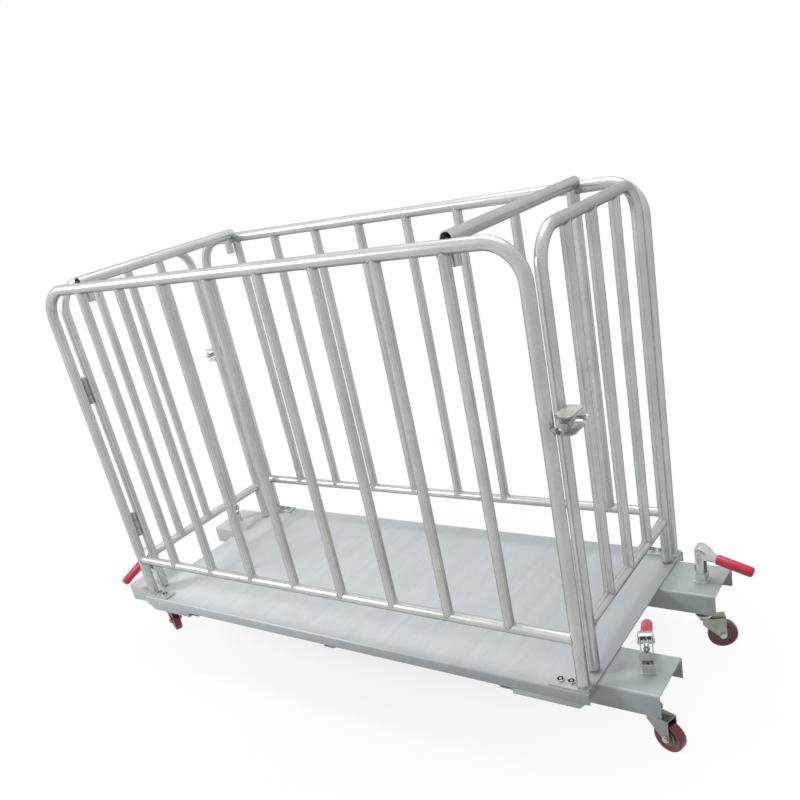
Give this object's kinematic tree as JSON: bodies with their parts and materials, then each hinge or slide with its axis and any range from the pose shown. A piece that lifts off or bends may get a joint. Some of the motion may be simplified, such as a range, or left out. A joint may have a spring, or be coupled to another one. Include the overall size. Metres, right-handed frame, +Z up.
{
  "type": "livestock scale",
  "caption": "Mobile platform livestock scale: tubular cage with a swinging gate at each end on a low weighing deck, with clamp-lowered swivel castors.",
  "frame": {"origin": "on the ground, below the middle of the deck, with the castors down", "axes": "+X along the deck from gate to gate, +Y across it to the far side panel, +Z up"},
  "size_m": [2.4724, 0.8614, 1.597],
  "materials": {
    "deck_paint": "flat silver-grey paint",
    "base_paint": "flat silver-grey paint",
    "galvanised": "galvanised, dull",
    "bright_zinc": "bright zinc plate",
    "cell_metal": "machined",
    "grip": "dipped vinyl",
    "wheel_tread": "dark red polyurethane"
  },
  "bodies": {
    "deck": {"deck_plate": "deck_paint", "deck_underframe": "base_paint", "near_side_panel": "galvanised", "far_side_panel": "galvanised", "left_cross_tube": "galvanised", "right_cross_tube": "galvanised", "outrigger_near_right": "base_paint", "load_cell_housing_near_right": "base_paint", "load_cell_near_right": "cell_metal", "clamp_bracket_near_right": "bright_zinc", "outrigger_far_right": "base_paint", "load_cell_housing_far_right": "base_paint", "load_cell_far_right": "cell_metal", "clamp_bracket_far_right": "bright_zinc", "outrigger_near_left": "base_paint", "load_cell_housing_near_left": "base_paint", "load_cell_near_left": "cell_metal", "clamp_bracket_near_left": "bright_zinc", "outrigger_far_left": "base_paint", "load_cell_housing_far_left": "base_paint", "load_cell_far_left": "cell_metal", "clamp_bracket_far_left": "bright_zinc"},
    "gate_right": {"right_gate": "galvanised"},
    "latch_right": {"right_latch_bolt": "bright_zinc"},
    "gate_left": {"left_gate": "galvanised"},
    "latch_left": {"left_latch_bolt": "bright_zinc"},
    "foot_near_right": {"levelling_foot_near_right": "bright_zinc"},
    "lever_near_right": {"clamp_lever_near_right": "bright_zinc", "clamp_grip_near_right": "grip"},
    "link_near_right": {"clamp_link_near_right": "bright_zinc"},
    "stem_near_right": {"lift_stem_near_right": "bright_zinc"},
    "fork_near_right": {"caster_fork_near_right": "bright_zinc", "caster_axle_near_right": "bright_zinc"},
    "wheel_near_right": {"caster_wheel_near_right": "wheel_tread"},
    "foot_far_right": {"levelling_foot_far_right": "bright_zinc"},
    "lever_far_right": {"clamp_lever_far_right": "bright_zinc", "clamp_grip_far_right": "grip"},
    "link_far_right": {"clamp_link_far_right": "bright_zinc"},
    "stem_far_right": {"lift_stem_far_right": "bright_zinc"},
    "fork_far_right": {"caster_fork_far_right": "bright_zinc", "caster_axle_far_right": "bright_zinc"},
    "wheel_far_right": {"caster_wheel_far_right": "wheel_tread"},
    "foot_near_left": {"levelling_foot_near_left": "bright_zinc"},
    "lever_near_left": {"clamp_lever_near_left": "bright_zinc", "clamp_grip_near_left": "grip"},
    "link_near_left": {"clamp_link_near_left": "bright_zinc"},
    "stem_near_left": {"lift_stem_near_left": "bright_zinc"},
    "fork_near_left": {"caster_fork_near_left": "bright_zinc", "caster_axle_near_left": "bright_zinc"},
    "wheel_near_left": {"caster_wheel_near_left": "wheel_tread"},
    "foot_far_left": {"levelling_foot_far_left": "bright_zinc"},
    "lever_far_left": {"clamp_lever_far_left": "bright_zinc", "clamp_grip_far_left": "grip"},
    "link_far_left": {"clamp_link_far_left": "bright_zinc"},
    "stem_far_left": {"lift_stem_far_left": "bright_zinc"},
    "fork_far_left": {"caster_fork_far_left": "bright_zinc", "caster_axle_far_left": "bright_zinc"},
    "wheel_far_left": {"caster_wheel_far_left": "wheel_tread"}
  },
  "joints": [
    {"name": "right_gate_swing", "type": "hinge", "parent": "deck", "child": "gate_right", "pos_m": [0.973, 0.37, 0], "axis": [0, 0, 1], "range_deg": [0, 100]},
    {"name": "right_latch_slide", "type": "slide", "parent": "gate_right", "child": "latch_right", "axis": [0, -1, 0], "range_m": [0, 0.024]},
    {"name": "left_gate_swing", "type": "hinge", "parent": "deck", "child": "gate_left", "pos_m": [-0.973, -0.37, 0], "axis": [0, 0, 1], "range_deg": [0, 100]},
    {"name": "left_latch_slide", "type": "slide", "parent": "gate_left", "child": "latch_left", "axis": [0, 1, 0], "range_m": [0, 0.024]},
    {"name": "foot_screw_near_right", "type": "slide", "parent": "deck", "child": "foot_near_right", "axis": [0, 0, -1], "range_m": [0, 0.025]},
    {"name": "lever_near_right", "type": "hinge", "parent": "deck", "child": "lever_near_right", "pos_m": [1.118, -0.262, 0.37], "axis": [0.9397, 0.342, 0], "range_deg": [0, 110]},
    {"name": "link_near_right", "type": "hinge", "parent": "lever_near_right", "child": "link_near_right", "pos_m": [1.118, -0.262, 0.342], "axis": [0.9397, 0.342, 0], "range_deg": [-143.3, 0]},
    {"name": "stem_near_right", "type": "slide", "parent": "deck", "child": "stem_near_right", "axis": [0, 0, 1], "range_m": [0, 0.0454]},
    {"name": "swivel_near_right", "type": "hinge", "parent": "stem_near_right", "child": "fork_near_right", "pos_m": [1.118, -0.262, 0.118], "axis": [0, 0, 1], "continuous": true},
    {"name": "wheel_spin_near_right", "type": "hinge", "parent": "fork_near_right", "child": "wheel_near_right", "pos_m": [1.17031, -0.279, 0.05], "axis": [0.309, 0.9511, 0], "continuous": true},
    {"name": "foot_screw_far_right", "type": "slide", "parent": "deck", "child": "foot_far_right", "axis": [0, 0, -1], "range_m": [0, 0.025]},
    {"name": "lever_far_right", "type": "hinge", "parent": "deck", "child": "lever_far_right", "pos_m": [1.118, 0.262, 0.37], "axis": [0, -1, 0], "range_deg": [0, 110]},
    {"name": "link_far_right", "type": "hinge", "parent": "lever_far_right", "child": "link_far_right", "pos_m": [1.118, 0.262, 0.342], "axis": [0, -1, 0], "range_deg": [-143.3, 0]},
    {"name": "stem_far_right", "type": "slide", "parent": "deck", "child": "stem_far_right", "axis": [0, 0, 1], "range_m": [0, 0.0454]},
    {"name": "swivel_far_right", "type": "hinge", "parent": "stem_far_right", "child": "fork_far_right", "pos_m": [1.118, 0.262, 0.118], "axis": [0, 0, 1], "continuous": true},
    {"name": "wheel_spin_far_right", "type": "hinge", "parent": "fork_far_right", "child": "wheel_far_right", "pos_m": [1.16824, 0.28437, 0.05], "axis": [-0.4067, 0.9135, 0], "continuous": true},
    {"name": "foot_screw_near_left", "type": "slide", "parent": "deck", "child": "foot_near_left", "axis": [0, 0, -1], "range_m": [0, 0.025]},
    {"name": "lever_near_left", "type": "hinge", "parent": "deck", "child": "lever_near_left", "pos_m": [-1.118, -0.262, 0.37], "axis": [-1, 0, 0], "range_deg": [0, 110]},
    {"name": "link_near_left", "type": "hinge", "parent": "lever_near_left", "child": "link_near_left", "pos_m": [-1.118, -0.262, 0.342], "axis": [-1, 0, 0], "range_deg": [-143.3, 0]},
    {"name": "stem_near_left", "type": "slide", "parent": "deck", "child": "stem_near_left", "axis": [0, 0, 1], "range_m": [0, 0.0454]},
    {"name": "swivel_near_left", "type": "hinge", "parent": "stem_near_left", "child": "fork_near_left", "pos_m": [-1.118, -0.262, 0.118], "axis": [0, 0, 1], "continuous": true},
    {"name": "wheel_spin_near_left", "type": "hinge", "parent": "fork_near_left", "child": "wheel_near_left", "pos_m": [-1.06899, -0.28697, 0.05], "axis": [0.454, 0.891, 0], "continuous": true},
    {"name": "foot_screw_far_left", "type": "slide", "parent": "deck", "child": "foot_far_left", "axis": [0, 0, -1], "range_m": [0, 0.025]},
    {"name": "lever_far_left", "type": "hinge", "parent": "deck", "child": "lever_far_left", "pos_m": [-1.118, 0.262, 0.37], "axis": [-0.7314, -0.682, 0], "range_deg": [0, 110]},
    {"name": "link_far_left", "type": "hinge", "parent": "lever_far_left", "child": "link_far_left", "pos_m": [-1.118, 0.262, 0.342], "axis": [-0.7314, -0.682, 0], "range_deg": [-143.3, 0]},
    {"name": "stem_far_left", "type": "slide", "parent": "deck", "child": "stem_far_left", "axis": [0, 0, 1], "range_m": [0, 0.0454]},
    {"name": "swivel_far_left", "type": "hinge", "parent": "stem_far_left", "child": "fork_far_left", "pos_m": [-1.118, 0.262, 0.118], "axis": [0, 0, 1], "continuous": true},
    {"name": "wheel_spin_far_left", "type": "hinge", "parent": "fork_far_left", "child": "wheel_far_left", "pos_m": [-1.0642, 0.27343, 0.05], "axis": [-0.2079, 0.9781, 0], "continuous": true}
  ],
  "couplings": [
    {"joint": "lever_near_right", "follows": "stem_near_right", "rad_per_m": 42.259},
    {"joint": "link_near_right", "follows": "stem_near_right", "rad_per_m": -55.03},
    {"joint": "lever_far_right", "follows": "stem_far_right", "rad_per_m": 42.259},
    {"joint": "link_far_right", "follows": "stem_far_right", "rad_per_m": -55.03},
    {"joint": "lever_near_left", "follows": "stem_near_left", "rad_per_m": 42.259},
    {"joint": "link_near_left", "follows": "stem_near_left", "rad_per_m": -55.03},
    {"joint": "lever_far_left", "follows": "stem_far_left", "rad_per_m": 42.259},
    {"joint": "link_far_left", "follows": "stem_far_left", "rad_per_m": -55.03}
  ]
}
